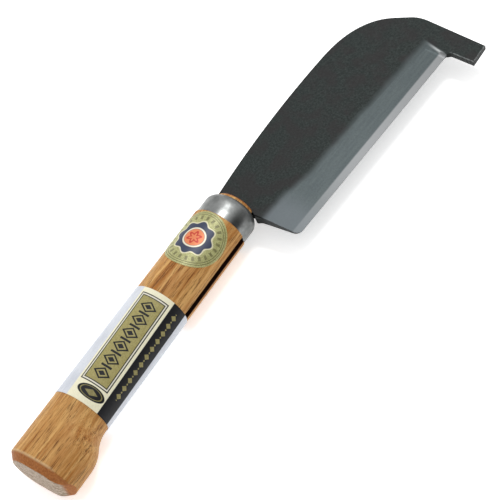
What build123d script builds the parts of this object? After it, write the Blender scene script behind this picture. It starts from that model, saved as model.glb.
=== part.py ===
"""Small hatchet with a squared guard beak, lying on its side.

The blade and its tang are one forging. The tang sits in a slot sawn into the oval
wooden handle from the edge side, held by a ferrule and two rivets. A paper band and a
round sticker are glued round the handle.

Frame: the origin is the centre of the handle's flat butt face. +X runs along the
handle to the blade, +Y towards the blade's spine, +Z out of the blade's flat side.
Lengths are in millimetres.
"""

import os
from math import atan2, cos, pi, sin

from build123d import *

os.makedirs("parts", exist_ok=True)

# Handle: an oval bar whose butt drops towards the edge side as a knob
handle_half_height = 17.1
handle_half_width = 15.4
handle_shoulder = 172.7
knob_drop = 7.7
knob_flat_end = 17.0
knob_flare_end = 41.0
knob_turn = 0.5
butt_chamfer = 4.2
butt_round_radius = 13.0
butt_round_start = -14.0
butt_edge_radius = 1.0

# Ferrule: a pressed steel cap whose front is rounded in to an oval mouth
ferrule_half_height = 16.5
ferrule_half_width = 15.0
ferrule_wall = 1.2
ferrule_front = 188.7
ferrule_round = 6.0
mouth_half_height = 12.9
mouth_half_width = 11.4
nub_front = 190.6
nub_round = 2.2

# Blade: outline seen from its flat side
blade_start = 188.3
neck_half_height = 12.6
spine_crown = (266.0, 15.7)
spine_end = (307.0, 14.1)
nose_upper = (334.5, 8.5)
nose_middle = (352.2, -5.2)
nose_lower = (358.0, -16.5)
beak_shoulder = (360.6, -31.5)
beak_back_end = (354.7, -72.8)
beak_front_end = (340.0, -72.8)
throat = (341.8, -54.8)
throat_radius = 3.0
heel_bottom = (188.6, -44.3)
heel_top = (188.4, -24.0)
heel_radius = 4.0
shoulder_lip = (186.7, -17.6)
shoulder_gap = 0.3

# Blade: half thickness, from the neck to the toe
neck_half_thickness = 2.75
toe_half_thickness = 1.65
toe_x = 362.0
rim_edge_radius = 0.3
rim_edge_length = 10.0

# Ground faces beside the cutting edge, as heights above the edge
edge_half_thickness = 0.12
honed_height = 4.2
honed_half_thickness = 0.9
ground_slope = 0.094
ground_height = 26.0
ground_end_round = 5.0

# Tang
tang_half_thickness = 2.15
tang_end = 86.0
tang_end_half_height = 6.0
tang_root = 177.0
tang_root_top = 8.0
tang_root_bottom = -10.0
tang_end_radius = 4.0

# Slot in the handle
slot_clearance = 0.05
slot_end = 84.5
slot_top = 8.4
slot_step = 176.0

# Rivets through the handle and the tang, by their place along and across the handle
rivet_radius = 2.0
rivet_half_length = 15.0
rivet_chamfer = 0.4
rivets = {"front_rivet": (153.2, -1.0), "rear_rivet": (104.0, -0.5)}

# Paper glued round the handle
label_start = 41.9
label_width = 73.3
label_thickness = 0.25
sticker_x = 153.9
sticker_radius = 18.5
sticker_thickness = 0.2
sticker_points = 32

# Longer than any piece is wide, for cutters that go right through
reach = 60.0
# Two places nearer than this are the same
same_place = 0.1


# Core that fills the ferrule: cut from the ferrule, and part of the handle
with BuildPart() as ferrule_core:
    with BuildSketch(Plane.YZ.offset(handle_shoulder)):
        Ellipse(ferrule_half_height - ferrule_wall, ferrule_half_width - ferrule_wall)
    extrude(amount=ferrule_front - ferrule_wall - handle_shoulder)
    core_face = ferrule_core.faces().sort_by(Axis.X)[-1]
    fillet(core_face.edges(), ferrule_round - ferrule_wall)

# Nub: the end of the handle that stands out of the ferrule's mouth
with BuildPart() as nub:
    with BuildSketch(Plane.YZ.offset(handle_shoulder)):
        Ellipse(mouth_half_height, mouth_half_width)
    extrude(amount=nub_front - handle_shoulder)
    nub_face = nub.faces().sort_by(Axis.X)[-1]
    fillet(nub_face.edges(), nub_round)

with BuildPart() as ferrule:
    with BuildSketch(Plane.YZ.offset(handle_shoulder)):
        Ellipse(ferrule_half_height, ferrule_half_width)
    extrude(amount=ferrule_front - handle_shoulder)
    ferrule_face = ferrule.faces().sort_by(Axis.X)[-1]
    fillet(ferrule_face.edges(), ferrule_round)
    add(ferrule_core.part, mode=Mode.SUBTRACT)
    with BuildSketch(Plane.YZ.offset(ferrule_front)):
        Ellipse(mouth_half_height, mouth_half_width)
    extrude(amount=-2 * ferrule_wall, mode=Mode.SUBTRACT)
ferrule.part.label = "ferrule"


# Handle. The knob's underside follows an S of two arcs that meet at the turn point
flare_length = knob_flare_end - knob_flat_end
turn_point = (knob_flat_end + knob_turn * flare_length, -(1 - knob_turn) * knob_drop)
turn_angle = 2 * atan2(knob_drop, flare_length)

with BuildLine() as knob_curve:
    knob_flat = Line((0, -knob_drop), (knob_flat_end, -knob_drop))
    knob_out = TangentArc(knob_flat @ 1, turn_point, tangent=(1, 0))
    knob_in = TangentArc(knob_out @ 1, (knob_flare_end, 0), tangent=(cos(turn_angle), sin(turn_angle)))


def on_butt_rim(edge):
    """True for the edges that run round the butt, not for those across its faces."""
    middle = edge.center()
    across_chamfer = abs(middle.X - butt_chamfer / 2) < same_place
    across_face = abs(middle.Y - butt_round_start) < same_place
    return middle.X < butt_chamfer + same_place and not across_chamfer and not across_face


with BuildPart() as handle:
    # Grip
    with BuildSketch(Plane.YZ.offset(knob_flare_end)):
        Ellipse(handle_half_height, handle_half_width)
    extrude(amount=handle_shoulder - knob_flare_end)
    # Upper half of the knob
    with BuildSketch(Plane.YZ):
        Ellipse(handle_half_height, handle_half_width)
        with Locations((-reach / 2, 0)):
            Rectangle(reach, reach, mode=Mode.SUBTRACT)
    extrude(amount=knob_flare_end)
    # Straight sides of the knob
    with BuildSketch():
        with BuildLine():
            add(knob_curve.line)
            Polyline(knob_in @ 1, (0, 0), knob_flat @ 0)
        make_face()
    extrude(amount=handle_half_width, both=True)
    # Rounded underside of the knob
    with BuildSketch(Plane.YZ):
        with Locations((-knob_drop, 0)):
            Ellipse(handle_half_height, handle_half_width)
        with Locations((-knob_drop + reach / 2, 0)):
            Rectangle(reach, reach, mode=Mode.SUBTRACT)
    sweep(path=knob_curve.line, normal=(1, 0, 0))
    butt_face = handle.faces().sort_by(Axis.X)[0]
    chamfer(butt_face.edges(), butt_chamfer)
    # Butt rounded off towards the knob's underside
    with BuildSketch():
        with BuildLine():
            corner = (butt_round_radius, butt_round_start - butt_round_radius)
            RadiusArc((0, butt_round_start), corner, -butt_round_radius)
            Polyline(corner, (-1, corner[1]), (-1, butt_round_start), (0, butt_round_start))
        make_face()
    extrude(amount=reach, both=True, mode=Mode.SUBTRACT)
    fillet(handle.edges().filter_by(on_butt_rim), butt_edge_radius)
    # Ends that go into the ferrule and out of its mouth
    add(ferrule_core.part)
    add(nub.part)
    # Slot for the tang, open to the edge side, and open both ways inside the ferrule
    with BuildSketch():
        with BuildLine():
            Polyline(
                (slot_end, -reach),
                (slot_end, slot_top),
                (slot_step, slot_top),
                (slot_step, reach),
                (nub_front, reach),
                (nub_front, -reach),
                close=True,
            )
        make_face()
    extrude(amount=tang_half_thickness + slot_clearance, both=True, mode=Mode.SUBTRACT)
    # Wider end of the slot, where the blade is at its full thickness
    with BuildSketch():
        with Locations((blade_start - slot_clearance, 0)):
            Rectangle(reach, 2 * reach, align=(Align.MIN, Align.CENTER))
    extrude(amount=neck_half_thickness + slot_clearance, both=True, mode=Mode.SUBTRACT)
    with Locations([Location((x, y, 0)) for x, y in rivets.values()]):
        Cylinder(rivet_radius, reach, mode=Mode.SUBTRACT)
handle.part.label = "handle"


# Cutter for one ground face, in two slopes, along the cutting edge up to the beak
edge_vector = Vector(*throat) - Vector(*heel_bottom)
edge_direction = edge_vector.normalized()
edge_up = edge_direction.rotate(Axis.Z, 90)
edge_plane = Plane(origin=heel_bottom, x_dir=edge_up, z_dir=edge_direction)
ground_half_thickness = honed_half_thickness + ground_slope * (ground_height - honed_height)

with BuildPart() as ground_cutter:
    with BuildSketch(edge_plane.offset(-reach)):
        with BuildLine():
            Polyline(
                (-reach, edge_half_thickness),
                (0, edge_half_thickness),
                (honed_height, honed_half_thickness),
                (ground_height, ground_half_thickness),
                (ground_height, reach),
                (-reach, reach),
                close=True,
            )
        make_face()
    extrude(amount=edge_vector.length + reach)
    end_face = ground_cutter.faces().sort_by(Axis(edge_plane.origin, edge_direction))[-1]
    end_edges = end_face.edges().sort_by(Axis.Z)[:3]
    fillet(end_edges, ground_end_round)

far_ground_cutter = mirror(ground_cutter.part, about=Plane.XY)


def on_outer_rim(edge):
    """True for the long edges round the blade's spine, nose and beak."""
    middle = edge.center()
    on_plate_face = abs(middle.Z) > toe_half_thickness / 2
    at_spine = middle.X > blade_start and middle.Y > 0
    at_beak = middle.X > nose_middle[0] or middle.Y < throat[1] - throat_radius
    return on_plate_face and edge.length > rim_edge_length and (at_spine or at_beak)


# Blade with its beak and tang, from one plate that is thinner at the tang and the toe
with BuildPart() as blade:
    with BuildSketch() as blade_outline:
        with BuildLine():
            spine_start = (blade_start, neck_half_height)
            spine = ThreePointArc(spine_start, spine_crown, spine_end)
            beak_back_slope = Vector(*beak_back_end) - Vector(*beak_shoulder)
            nose = Spline(
                spine @ 1,
                nose_upper,
                nose_middle,
                nose_lower,
                beak_shoulder,
                tangents=[spine % 1, beak_back_slope],
            )
            beak = Polyline(nose @ 1, beak_back_end, beak_front_end, throat, heel_bottom, heel_top)
            lip = ThreePointArc(beak @ 1, (heel_top[0] - 0.5, -20.0), shoulder_lip)
            Polyline(
                lip @ 1,
                (shoulder_lip[0], -ferrule_half_height),
                (ferrule_front + shoulder_gap, -neck_half_height - 1.0),
                (ferrule_front + shoulder_gap, -neck_half_height),
                (tang_root, -neck_half_height),
                (tang_root, tang_root_bottom),
                (tang_end, -tang_end_half_height),
                (tang_end, tang_end_half_height),
                (tang_root, tang_root_top),
                (tang_root, neck_half_height),
                spine_start,
            )
        make_face()
        fillet(blade_outline.vertices().sort_by_distance(throat)[0], throat_radius)
        fillet(blade_outline.vertices().sort_by_distance(heel_bottom)[0], heel_radius)
        fillet(blade_outline.vertices().sort_by(Axis.X)[:2], tang_end_radius)
    extrude(amount=neck_half_thickness, both=True)
    with BuildSketch(Plane.XZ):
        with BuildLine():
            Polyline(
                (tang_end, tang_half_thickness),
                (blade_start, tang_half_thickness),
                (blade_start, neck_half_thickness),
                (toe_x, toe_half_thickness),
                (toe_x, -toe_half_thickness),
                (blade_start, -neck_half_thickness),
                (blade_start, -tang_half_thickness),
                (tang_end, -tang_half_thickness),
                close=True,
            )
        make_face()
    extrude(amount=2 * reach, both=True, mode=Mode.INTERSECT)
    add(ground_cutter.part, mode=Mode.SUBTRACT)
    add(far_ground_cutter, mode=Mode.SUBTRACT)
    fillet(blade.edges().filter_by(on_outer_rim), rim_edge_radius)
    with Locations([Location((x, y, 0)) for x, y in rivets.values()]):
        Cylinder(rivet_radius, reach, mode=Mode.SUBTRACT)
blade.part.label = "blade"


# Rivets, set in a little below the wood at both ends
rivet_parts = {}
for name, (x, y) in rivets.items():
    with BuildPart() as rivet:
        with Locations(Location((x, y, 0))):
            Cylinder(rivet_radius, 2 * rivet_half_length)
        chamfer(rivet.edges().filter_by(GeomType.CIRCLE), rivet_chamfer)
    rivet.part.label = name
    rivet_parts[name] = rivet.part


# Paper label: a band right round the handle
with BuildPart() as paper_label:
    with BuildSketch(Plane.YZ.offset(label_start)):
        Ellipse(handle_half_height + label_thickness, handle_half_width + label_thickness)
        Ellipse(handle_half_height, handle_half_width, mode=Mode.SUBTRACT)
    extrude(amount=label_width)
paper_label.part.label = "paper_label"


# Round sticker, bent over the flat side: a disc as cut, measured along the wood
mean_radius = (handle_half_height + handle_half_width) / 2
sticker_outline = []
for step in range(sticker_points):
    turn = 2 * pi * step / sticker_points
    bend = sticker_radius * sin(turn) / mean_radius
    sticker_outline.append((sticker_x + sticker_radius * cos(turn), handle_half_height * sin(bend)))

with BuildPart() as round_sticker:
    with BuildSketch(Plane.YZ.offset(sticker_x)):
        Ellipse(handle_half_height + sticker_thickness, handle_half_width + sticker_thickness)
        Ellipse(handle_half_height, handle_half_width, mode=Mode.SUBTRACT)
    extrude(amount=reach, both=True)
    with BuildSketch():
        with BuildLine():
            Spline(sticker_outline, periodic=True)
        make_face()
    extrude(amount=reach, mode=Mode.INTERSECT)
round_sticker.part.label = "round_sticker"


solids = [blade.part, handle.part, ferrule.part, paper_label.part, round_sticker.part]
for solid in solids + list(rivet_parts.values()):
    export_step(solid, f"parts/{solid.label}.step")
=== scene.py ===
"""Looks of a small hatchet with a squared guard beak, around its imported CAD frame.

The frame is in metres, with +X along the handle to the blade, +Y towards the spine and
+Z out of the flat side. Materials measure in millimetres, so that their numbers read like
the real object: x along the handle, y towards the spine, z out of the flat side.
"""

from math import cos, pi, radians, sin

import bmesh
import bpy
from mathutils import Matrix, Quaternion, Vector


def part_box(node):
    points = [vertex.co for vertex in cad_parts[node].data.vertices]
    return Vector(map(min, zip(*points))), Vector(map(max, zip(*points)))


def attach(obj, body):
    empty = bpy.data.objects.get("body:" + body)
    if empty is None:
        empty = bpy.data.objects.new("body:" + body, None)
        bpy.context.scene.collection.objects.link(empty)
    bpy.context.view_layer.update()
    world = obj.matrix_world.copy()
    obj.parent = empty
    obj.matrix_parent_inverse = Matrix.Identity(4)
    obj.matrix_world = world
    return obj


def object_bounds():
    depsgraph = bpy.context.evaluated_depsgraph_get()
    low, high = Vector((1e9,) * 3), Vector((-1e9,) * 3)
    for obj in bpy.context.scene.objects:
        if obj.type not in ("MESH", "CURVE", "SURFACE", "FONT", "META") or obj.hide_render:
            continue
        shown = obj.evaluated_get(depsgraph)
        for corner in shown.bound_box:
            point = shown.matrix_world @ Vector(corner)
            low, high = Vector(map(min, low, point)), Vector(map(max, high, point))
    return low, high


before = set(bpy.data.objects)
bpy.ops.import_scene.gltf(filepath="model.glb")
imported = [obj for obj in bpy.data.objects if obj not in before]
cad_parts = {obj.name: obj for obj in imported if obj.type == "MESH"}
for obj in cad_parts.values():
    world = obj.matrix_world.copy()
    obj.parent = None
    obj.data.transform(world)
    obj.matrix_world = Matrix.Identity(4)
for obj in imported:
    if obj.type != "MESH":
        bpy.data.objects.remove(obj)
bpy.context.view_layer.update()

MM = 0.001


def box_in_mm(name):
    """Lowest and highest corner of a CAD node, in millimetres."""
    low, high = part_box(name)
    return Vector(low) / MM, Vector(high) / MM


# Fields: numbers and colours that vary over a surface


class Field:
    """One output socket of a material's node tree, with arithmetic on it."""

    def __init__(self, tree, socket):
        self.tree = tree
        self.socket = socket

    def math(self, operation, *others):
        return node(self.tree, "ShaderNodeMath", [self, *others], operation=operation)

    def __add__(self, other):
        return self.math("ADD", other)

    def __sub__(self, other):
        return self.math("SUBTRACT", other)

    def __mul__(self, other):
        return self.math("MULTIPLY", other)

    def __truediv__(self, other):
        return self.math("DIVIDE", other)

    def __abs__(self):
        return self.math("ABSOLUTE")


def node(tree, kind, values=(), output=0, **settings):
    """A new node with these settings. values are its inputs, by order or by name."""
    made = tree.nodes.new(kind)
    for name, setting in settings.items():
        setattr(made, name, setting)
    pairs = values.items() if isinstance(values, dict) else enumerate(values)
    for key, value in pairs:
        if isinstance(value, Field):
            tree.links.new(value.socket, made.inputs[key])
        else:
            made.inputs[key].default_value = value
    return Field(tree, made.outputs[output])


def split(vector):
    """The x, y and z of a vector field, as three fields."""
    parts = node(vector.tree, "ShaderNodeSeparateXYZ", [vector]).socket.node.outputs
    return [Field(vector.tree, parts[axis]) for axis in "XYZ"]


def ramp(field, start, end):
    """0 where field is at start, 1 where it is at end, smooth between."""
    values = {"Value": field, "From Min": start, "From Max": end}
    return node(field.tree, "ShaderNodeMapRange", values, interpolation_type="SMOOTHSTEP")


def within(field, low, high, soft):
    """1 where field is between low and high, with soft edges."""
    return ramp(field, low - soft, low + soft) * ramp(field, high + soft, high - soft)


def blend(share, first, second):
    """Colour that turns from first to second as share goes from 0 to 1."""
    factor, first_input, second_input = 0, 6, 7
    values = {factor: share, first_input: first, second_input: second}
    return node(share.tree, "ShaderNodeMix", values, output=2, data_type="RGBA")


def rgb(red, green, blue):
    """Linear colour from an 8-bit display colour."""
    def linear(level):
        share = level / 255
        return share / 12.92 if share <= 0.04045 else ((share + 0.055) / 1.055) ** 2.4
    return (linear(red), linear(green), linear(blue), 1.0)


def places(tree):
    """x, y and z of the surface in millimetres, as three fields."""
    coordinates = node(tree, "ShaderNodeTexCoord", output="Object")
    return [part * (1 / MM) for part in split(coordinates)]


def facing(tree):
    """The surface's outward direction, as three fields."""
    return split(node(tree, "ShaderNodeNewGeometry", output="Normal"))


def noise(x, y, z, detail=2.0, roughness=0.5):
    """Noise with a grain of 1 in the units of x, y and z."""
    place = node(x.tree, "ShaderNodeCombineXYZ", [x, y, z])
    values = {"Vector": place, "Scale": 1.0, "Detail": detail, "Roughness": roughness}
    return node(x.tree, "ShaderNodeTexNoise", values)


def bump(height, strength, depth):
    """Normal of a relief this deep in millimetres."""
    values = {"Strength": strength, "Distance": depth * MM, "Height": height}
    return node(height.tree, "ShaderNodeBump", values)


def surface(name):
    """A new material with a principled shader. Returns material, node tree and shader."""
    material = bpy.data.materials.new(name)
    material.use_nodes = True
    tree = material.node_tree
    return material, tree, tree.nodes["Principled BSDF"]


def finish_surface(shader, **values):
    """Sets the shader's sockets: fields are linked, plain values are stored."""
    for key, value in values.items():
        socket = shader.inputs[key.replace("_", " ").title().replace("Ior", "IOR")]
        if isinstance(value, Field):
            value.tree.links.new(value.socket, socket)
        else:
            socket.default_value = value


def wear(name, material):
    """Gives the CAD node this one material."""
    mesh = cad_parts[name].data
    mesh.materials.clear()
    mesh.materials.append(material)


# Wood


def oak():
    """Bare sanded wood, rubbed on its chamfer and dry on its sawn ends, with a painted highlight on
    the chamfer's edge and painted shade where the tang goes in.
    """
    material, tree, shader = surface("oak")
    x, y, z = places(tree)
    facing_along = abs(facing(tree)[0])
    low, high = box_in_mm("handle")
    # Growth rings as long wavering streaks along the grain
    drift = noise(x * 0.012, y * 0.06, z * 0.06, detail=2.0)
    streak = noise(x * 0.014, (y + drift * 9) * 0.42, z * 0.42, detail=4.0, roughness=0.6)
    tone = blend(ramp(streak, 0.3, 0.7), rgb(214, 168, 104), rgb(170, 110, 52))
    # Pores: short dark dashes, gathered in rows
    row = noise(x * 0.02, y * 0.55, z * 0.55, detail=1.0)
    dash = noise(x * 0.1, y * 1.9, z * 1.9, detail=3.0, roughness=0.65)
    fine_dash = noise(x * 0.3, y * 3.6, z * 3.6, detail=3.0)
    pore = ramp(dash + row * 0.35, 0.72, 0.86)
    fleck = ramp(fine_dash, 0.55, 0.72)
    tone = blend(fleck * 0.7, tone, rgb(128, 80, 34))
    tone = blend(pore * 0.8, tone, rgb(92, 50, 20))
    # Sawn ends: rubbed orange-brown on the chamfer, pale and dry on the butt
    grit = noise(x * 0.9, y * 0.9, z * 0.9, detail=4.0, roughness=0.7)
    crack = noise(x * 0.3, y * 0.22, z * 0.9, detail=3.0, roughness=0.6)
    rubbed = blend(ramp(grit, 0.3, 0.7), rgb(176, 112, 58), rgb(146, 86, 40))
    dry = blend(ramp(grit, 0.35, 0.65), rgb(198, 180, 160), rgb(142, 122, 102))
    dry = blend(ramp(crack, 0.5, 0.62) * 0.8, dry, rgb(112, 88, 66))
    end_tone = blend(ramp(facing_along, 0.8, 0.92), rubbed, dry)
    half_length = (high.x - low.x) / 2
    near_ends = ramp(abs(x - half_length), half_length - 25, half_length - 15)
    tone = blend(ramp(facing_along, 0.3, 0.55) * near_ends, tone, end_tone)
    # Painted highlight along the front edge of the butt's chamfer, on its upper side, broken up
    # like rubbed wear
    chamfer, rounded_from = 4.4, -14.0
    chamfer_highlight = within(x, chamfer - 0.6, chamfer + 0.6, 0.5)
    chamfer_highlight = chamfer_highlight * ramp(y, rounded_from - 4.0, rounded_from) * ramp(grit, 0.3, 0.5)
    tone = blend(chamfer_highlight * 0.6, tone, rgb(216, 186, 142))
    # Slot for the tang: painted shade darkens it inside
    slot_end, slot_half_width, slot_top = 84.4, 2.6, 9.0
    slot_mouth = low.y + 8.0
    slot_shade = within(z, -slot_half_width, slot_half_width, 0.12)
    slot_shade = slot_shade * ramp(x, slot_end - 0.2, slot_end + 0.2) * within(y, slot_mouth, slot_top, 0.3)
    tone = blend(slot_shade, tone, rgb(44, 20, 12))
    relief = fleck * -0.3 - pore
    finish_surface(
        shader,
        base_color=tone,
        roughness=fleck * 0.12 + 0.5,
        specular_ior_level=0.15,
        normal=bump(relief, 0.6, 0.12),
    )
    return material


# Steel


# Corners of the blade's outline, x and y in millimetres
heel = Vector((188.6, -44.3))
throat = Vector((341.8, -54.8))
beak_corner = Vector((340.0, -72.8))


def forged_steel():
    """Dark forge scale, a soft ground face beside the edge, and a honed strip along it.

    run is measured along the edge from the heel, and height from the edge into the blade.
    """
    material, tree, shader = surface("forged_steel")
    x, y, z = places(tree)
    facing_out = abs(facing(tree)[2])
    along = (throat - heel).normalized()
    run = (x - heel.x) * along.x + (y - heel.y) * along.y
    height = (y - heel.y) * along.x - (x - heel.x) * along.y
    edge_length = (throat - heel).length
    sand = noise(x * 0.8, y * 0.8, z * 0.8, detail=5.0, roughness=0.75)
    cloud = noise(x * 0.09, y * 0.09, z * 0.09, detail=3.0)
    dent = noise(x * 0.28, y * 0.28, z * 0.28, detail=1.0)
    brushed = noise(run * 0.05, height * 0.6, 0.0, detail=4.0)
    # Forge scale
    scale_tone = blend(ramp(sand, 0.35, 0.7), rgb(32, 38, 37), rgb(54, 61, 59))
    scale_tone = blend(ramp(cloud, 0.4, 0.65) * 0.6, scale_tone, rgb(46, 42, 43))
    fleck = ramp(sand, 0.66, 0.74)
    scale_tone = blend(fleck * 0.35, scale_tone, rgb(78, 84, 82))
    # Ground face: its upper limit wavers, drops past the heel and sinks to the beak
    waver = noise(run * 0.06, height * 0.03, 0.0, detail=2.0)
    limit = waver * 4 - run * 0.02 + ramp(run, 44.0, 12.0) * 3.0 + 19.3
    from_beak = height * 0.26 - run + edge_length
    before_beak = ramp(from_beak, 1.5, 3.2)
    ground = ramp(height - limit, 2.5, -4.0) * before_beak
    ground_tone = blend(ramp(brushed, 0.3, 0.7), rgb(77, 85, 87), rgb(83, 91, 92))
    ground_tone = blend(ramp(sand, 0.4, 0.7) * 0.3, ground_tone, rgb(56, 61, 61))
    ground_tone = blend(ramp(run, 26.0, 8.0) * 0.7, ground_tone, rgb(97, 103, 107))
    # Painted highlight where the ground face runs out at the beak
    beak_root_highlight = within(from_beak, 2.3, 4.0, 0.9) * ramp(height, 17.0, 4.0)
    ground_tone = blend(beak_root_highlight * 0.8, ground_tone, rgb(196, 200, 200))
    honed = ramp(height, 4.9, 3.7) * ramp(run, -30.0, 70.0) * before_beak
    tone = blend(ground, scale_tone, ground_tone)
    tone = blend(honed, tone, rgb(128, 130, 131))
    # Long edges, where the scale is rubbed off
    rubbed = ramp(facing_out, 0.95, 0.8) * ramp(facing_out, 0.2, 0.5)
    tone = blend(rubbed * 0.25, tone, rgb(78, 82, 82))
    # Beak's corner and end: bright knocks here and there, partly a painted highlight along the
    # edges
    lean = (throat.x - beak_corner.x) / (throat.y - beak_corner.y)
    from_side = x - beak_corner.x - (y - beak_corner.y) * lean
    knocks_and_highlight = within(from_side, -0.2, 0.7, 0.25) * ramp(y, throat.y, throat.y - 4.0)
    knocks_and_highlight = knocks_and_highlight.math("MAXIMUM", ramp(y, beak_corner.y + 1.0, beak_corner.y + 0.4))
    tone = blend(knocks_and_highlight * ramp(sand, 0.35, 0.6) * 0.6, tone, rgb(150, 154, 154))
    # Painted shade on the cut sides, near black
    cut_side_shade = ramp(facing_out, 0.4, 0.15)
    tone = blend(cut_side_shade * 0.75, tone, rgb(12, 14, 14))
    finish_surface(
        shader,
        base_color=tone,
        metallic=ground * 0.35 + 0.2,
        roughness=ground * -0.12 + 0.6,
        specular_ior_level=0.2,
        normal=bump((sand * 0.4 + dent) * (ground * -0.8 + 1.0), 0.5, 0.25),
    )
    return material


def pressed_steel():
    """Bright sheet steel, drawn over a form."""
    material, tree, shader = surface("pressed_steel")
    x, y, z = places(tree)
    smear = noise(x * 0.25, y * 0.25, z * 0.25, detail=3.0)
    rub = noise(x * 3.0, y * 0.5, z * 0.5, detail=3.0)
    low, high = box_in_mm("ferrule")
    tone = blend(ramp(smear, 0.3, 0.7), rgb(142, 144, 143), rgb(122, 124, 123))
    # Bright by the handle, duller towards the mouth, with painted shade where it turns in
    dulled = ramp(x, low.x + 2.0, high.x - 4.0)
    mouth_shade = ramp(x, high.x - 3.2, high.x - 0.4)
    finish_surface(
        shader,
        base_color=blend(mouth_shade * 0.75, tone, rgb(96, 94, 92)),
        metallic=1.0,
        roughness=ramp(smear, 0.25, 0.75) * 0.08 + dulled * 0.18 + 0.28,
        normal=bump(rub + smear * 2, 0.08, 0.05),
    )
    return material


def cut_steel():
    """Filed ends of the rivets."""
    material, tree, shader = surface("cut_steel")
    x, y, z = places(tree)
    scratch = noise(x * 4.0, y * 0.8, z * 0.8, detail=3.0)
    finish_surface(
        shader,
        base_color=blend(ramp(scratch, 0.3, 0.7), rgb(150, 150, 148), rgb(118, 116, 112)),
        metallic=1.0,
        roughness=ramp(scratch, 0.2, 0.8) * 0.2 + 0.35,
        normal=bump(scratch, 0.2, 0.05),
    )
    return material


# Printed paper. The prints are plain geometric ornament, laid out in millimetres on the
# paper: u along the handle, v round it from the middle of the flat side to the spine


def distance_round(y, z, half_height, half_width):
    """Millimetres round the grip's oval from the middle of its flat side."""
    angle = (y * (half_width / half_height)).math("ARCTAN2", z)
    return angle * ((half_height + half_width) / 2)


def panel(u, v, low, high, soft=0.1):
    """1 inside the rectangle between two corners."""
    return within(u, low[0], high[0], soft) * within(v, low[1], high[1], soft)


def lozenge(u, v, half_length, half_width):
    """Below 1 inside a lozenge, 0 at its middle."""
    return abs(u) / half_length + abs(v) / half_width


def oval(u, v, half_length, half_width):
    """Below 1 inside an oval, 0 at its middle."""
    return ((u / half_length).math("POWER", 2.0) + (v / half_width).math("POWER", 2.0)).math("SQRT")


def repeated(field, pitch):
    """Signed distance from the middle of the cell, for cells a pitch long."""
    return ((field / pitch).math("FRACT") - 0.5) * pitch


def printed_label():
    """White paper with a cream field, a framed gilt plaque, a dark oval and a black strip."""
    material, tree, shader = surface("printed_label")
    x, y, z = places(tree)
    low, high = box_in_mm("paper_label")
    u = x - low.x
    # The print runs a little askew on the handle
    middle_x, askew = 79.5, 0.0306
    v = distance_round(y, z, high.y, high.z) - (x - middle_x) * askew
    fibre = noise(x * 1.2, y * 1.2, z * 1.2, detail=4.0, roughness=0.7)
    black = rgb(14, 15, 20)
    gilt = blend(ramp(fibre, 0.35, 0.65), rgb(172, 162, 106), rgb(150, 140, 84))
    crease_and_shade = noise(x * 0.07, y * 0.24, z * 0.24, detail=4.0, roughness=0.6)
    tone = blend(ramp(fibre, 0.3, 0.7), rgb(218, 221, 228), rgb(206, 210, 218))
    # Painted shade in the creases of the paper
    tone = blend(ramp(crease_and_shade, 0.48, 0.66) * 0.45, tone, rgb(188, 192, 202))
    # Cream field over the flat side
    cream = blend(ramp(fibre, 0.3, 0.7), rgb(244, 240, 212), rgb(234, 228, 198))
    tone = blend(within(v, -14.7, 5.1, 0.2), tone, cream)
    # Plaque in a double black line, with a frieze of lozenges and bars
    for low_corner, high_corner, colour in (
        ((11.4, -12.9), (70.2, 4.0), black),
        ((12.0, -12.3), (69.6, 3.4), rgb(228, 224, 208)),
        ((12.8, -11.6), (68.8, 2.7), black),
        ((13.3, -11.1), (68.3, 2.2), gilt),
    ):
        tone = blend(panel(u, v, low_corner, high_corner), tone, colour)
    frieze_v = v + 4.4
    cell = repeated(u - 14.3, 8.85)
    large = lozenge(cell, frieze_v, 3.5, 5.0)
    small = lozenge(cell, frieze_v, 1.5, 2.2)
    bar = ramp(abs(cell), 3.75, 3.85) * ramp(abs(frieze_v), 3.2, 3.0)
    motif = within(large, 0.7, 1.0, 0.03).math("MAXIMUM", ramp(small, 1.05, 0.95))
    motif = motif.math("MAXIMUM", bar)
    tone = blend(motif * panel(u, v, (15.0, -10.4), (66.7, 1.6)), tone, black)
    # Black strip towards the edge, with a row of small gilt lozenges
    tone = blend(within(v, -24.9, -14.6, 0.15), tone, black)
    strip_v = v + 19.4
    small_cell = repeated(u - 12.0, 5.2)
    bead = ramp(lozenge(small_cell, strip_v, 1.7, 2.0), 1.1, 0.9)
    dot = ramp(oval(abs(small_cell) - 2.6, strip_v, 0.5, 0.5), 1.2, 0.8)
    tone = blend(bead.math("MAXIMUM", dot) * within(u, 12.0, 69.2, 0.1) * 0.8, tone, gilt)
    # Black oval at the butt end, with a gilt line and a lozenge inside
    oval_u, oval_v = u - 6.9, v + 5.8
    dark_oval = oval(oval_u, oval_v, 3.7, 8.2)
    tone = blend(ramp(dark_oval, 1.03, 0.97), tone, black)
    line = within(dark_oval, 0.74, 0.82, 0.03)
    middle = ramp(lozenge(oval_u, oval_v, 1.7, 3.8), 1.1, 0.95)
    tone = blend(line.math("MAXIMUM", middle) * 0.7, tone, gilt)
    finish_surface(
        shader,
        base_color=tone,
        roughness=fibre * 0.1 + 0.5,
        specular_ior_level=0.3,
        normal=bump(fibre * 0.1 + crease_and_shade, 0.35, 0.4),
    )
    return material


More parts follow.
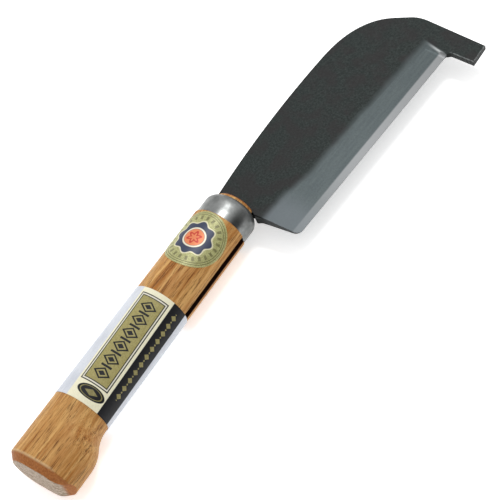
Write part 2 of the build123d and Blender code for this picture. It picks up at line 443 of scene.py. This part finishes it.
def printed_sticker():
    """Gold foil with rings and rays round a rosette and a flower."""
    material, tree, shader = surface("printed_sticker")
    x, y, z = places(tree)
    low, high = box_in_mm("round_sticker")
    label_high = box_in_mm("paper_label")[1]
    radius = (high.x - low.x) / 2
    u = x - (low.x + high.x) / 2
    v = distance_round(y, z, label_high.y, label_high.z)
    out = oval(u, v, radius, radius)
    angle = v.math("ARCTAN2", u)
    foil = noise(x * 1.7, y * 1.7, z * 1.7, detail=4.0, roughness=0.8)
    gold = blend(ramp(foil, 0.38, 0.62), rgb(192, 192, 138), rgb(150, 148, 90))
    dark = rgb(70, 62, 32)
    # Rings round the rim, with short rays between them
    rings = within(out, 0.925, 0.945, 0.008).math("MAXIMUM", within(out, 0.86, 0.88, 0.008))
    tone = blend(rings * 0.8, gold, dark)
    ray = ramp((angle * 24).math("COSINE"), 0.1, 0.5) * within(out, 0.68, 0.82, 0.02)
    tone = blend(ray * 0.6, tone, dark)
    # Eight-petalled rosette
    petals = out - (angle * 8).math("COSINE") * 0.05
    tone = blend(ramp(petals, 0.61, 0.58), tone, rgb(226, 220, 186))
    tone = blend(ramp(petals, 0.57, 0.54), tone, rgb(52, 60, 84))
    tone = blend(within(out, 0.31, 0.36, 0.01), tone, rgb(236, 228, 204))
    tone = blend(ramp(out, 0.31, 0.29), tone, rgb(226, 132, 84))
    flower = out - (angle * 6).math("COSINE") * 0.05
    tone = blend(within(flower, 0.11, 0.19, 0.015), tone, rgb(196, 56, 40))
    finish_surface(
        shader,
        base_color=tone,
        metallic=0.15,
        roughness=foil * 0.15 + 0.36,
        normal=bump(foil, 0.2, 0.05),
    )
    return material


# Added piece


def add_label_overlap():
    """The paper's free end, lapped over the band's start on the far side of the handle."""
    low, high = box_in_mm("paper_label")
    # Angles round the handle from the middle of its flat side, lengths in millimetres
    start_angle, free_angle = radians(122), radians(148)
    end_thickness, sunk = 0.16, 0.04
    corner_lift, corner_length = 0.5, 12.0
    steps_along, steps_round = 40, 16
    lap = bmesh.new()
    loops = []
    for i in range(steps_along + 1):
        x = low.x + (high.x - low.x) * i / steps_along
        near_corner = max(0.0, 1 - (high.x - x) / corner_length)
        outer, inner = [], []
        for j in range(steps_round + 1):
            share = j / steps_round
            angle = start_angle + (free_angle - start_angle) * share
            lift = corner_lift * (near_corner * max(0.0, share * 2 - 1)) ** 2
            for side, proud in ((outer, lift + end_thickness * share), (inner, lift - sunk)):
                place = (x, (high.y + proud) * sin(angle), (high.z + proud) * cos(angle))
                side.append(lap.verts.new(Vector(place) * MM))
        loops.append(outer + inner[::-1])
    for loop, next_loop in zip(loops, loops[1:]):
        for j in range(len(loop)):
            lap.faces.new((loop[j - 1], loop[j], next_loop[j], next_loop[j - 1]))
    lap.faces.new(loops[0])
    lap.faces.new(loops[-1])
    bmesh.ops.recalc_face_normals(lap, faces=lap.faces)
    mesh = bpy.data.meshes.new("label_overlap")
    lap.to_mesh(mesh)
    lap.free()
    mesh.materials.append(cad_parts["paper_label"].data.materials[0])
    piece = bpy.data.objects.new("label_overlap", mesh)
    bpy.context.scene.collection.objects.link(piece)
    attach(piece, "root")


# The object


wear("handle", oak())
wear("blade", forged_steel())
wear("ferrule", pressed_steel())
rivet_steel = cut_steel()
for rivet in ("front_rivet", "rear_rivet"):
    wear(rivet, rivet_steel)
wear("paper_label", printed_label())
wear("round_sticker", printed_sticker())
add_label_overlap()


# Camera, light and floor


def look(thing, place, aim, roll=0.0):
    """Puts a camera or light at place, pointed at aim."""
    thing.location = place
    direction = (Vector(aim) - Vector(place)).to_track_quat("-Z", "Y")
    thing.rotation_mode = "QUATERNION"
    thing.rotation_quaternion = direction @ Quaternion((0, 0, 1), roll)


def add_camera():
    """Over the butt on the edge side, turned so that the blade points to the top right."""
    place = (-0.1221, -0.3536, 0.5630)
    aim = (0.1680, -0.0245, 0.0)
    data = bpy.data.cameras.new("camera")
    data.sensor_width = 36.0
    data.lens = 92.63
    data.clip_end = 20.0
    camera = bpy.data.objects.new("camera", data)
    bpy.context.scene.collection.objects.link(camera)
    look(camera, place, aim, roll=radians(-18.87))
    bpy.context.scene.camera = camera


def add_softbox(name, place, aim, width, height, power):
    """Rectangular light, in metres and watts."""
    data = bpy.data.lights.new(name, "AREA")
    data.shape = "RECTANGLE"
    data.size = width
    data.size_y = height
    data.energy = power
    light = bpy.data.objects.new(name, data)
    bpy.context.scene.collection.objects.link(light)
    look(light, place, aim)


def add_floor():
    """White paper that glows a little, so that shadows on it stay faint."""
    half_size = 3.0
    clearance = 0.2 * MM
    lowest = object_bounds()[0][2]
    level = lowest - clearance
    signs = ((-1, -1), (1, -1), (1, 1), (-1, 1))
    corners = [(i * half_size, j * half_size, level) for i, j in signs]
    mesh = bpy.data.meshes.new("floor")
    mesh.from_pydata(corners, [], [(0, 1, 2, 3)])
    floor = bpy.data.objects.new("floor", mesh)
    bpy.context.scene.collection.objects.link(floor)
    material, tree, shader = surface("floor_paper")
    x, y, z = places(tree)
    tooth = noise(x * 0.5, y * 0.5, z * 0.5, detail=3.0)
    shade = blend(ramp(tooth, 0.2, 0.8), rgb(252, 252, 252), rgb(248, 248, 248))
    finish_surface(
        shader,
        base_color=shade,
        roughness=0.9,
        emission_color=(1.0, 1.0, 1.0, 1.0),
        emission_strength=0.55,
    )
    mesh.materials.append(material)


def add_surroundings():
    """White studio with a dark gap low down on the cutting edge's side."""
    world = bpy.data.worlds.new("studio")
    world.use_nodes = True
    tree = world.node_tree
    y, z = split(node(tree, "ShaderNodeTexCoord", output="Generated"))[1:]
    gap = ramp(y, -0.35, -0.55) * ramp(z, 0.8, 0.66)
    shade = blend(gap, (1.0, 1.0, 1.0, 1.0), (0.05, 0.05, 0.05, 1.0))
    background = tree.nodes["Background"]
    tree.links.new(shade.socket, background.inputs["Color"])
    background.inputs["Strength"].default_value = 0.85
    bpy.context.scene.world = world


add_camera()
add_floor()
add_surroundings()
add_softbox("key", (0.60, 0.02, 0.90), (0.17, 0.0, 0.0), 0.30, 0.20, 3.6)
bpy.context.scene.view_settings.view_transform = "Standard"
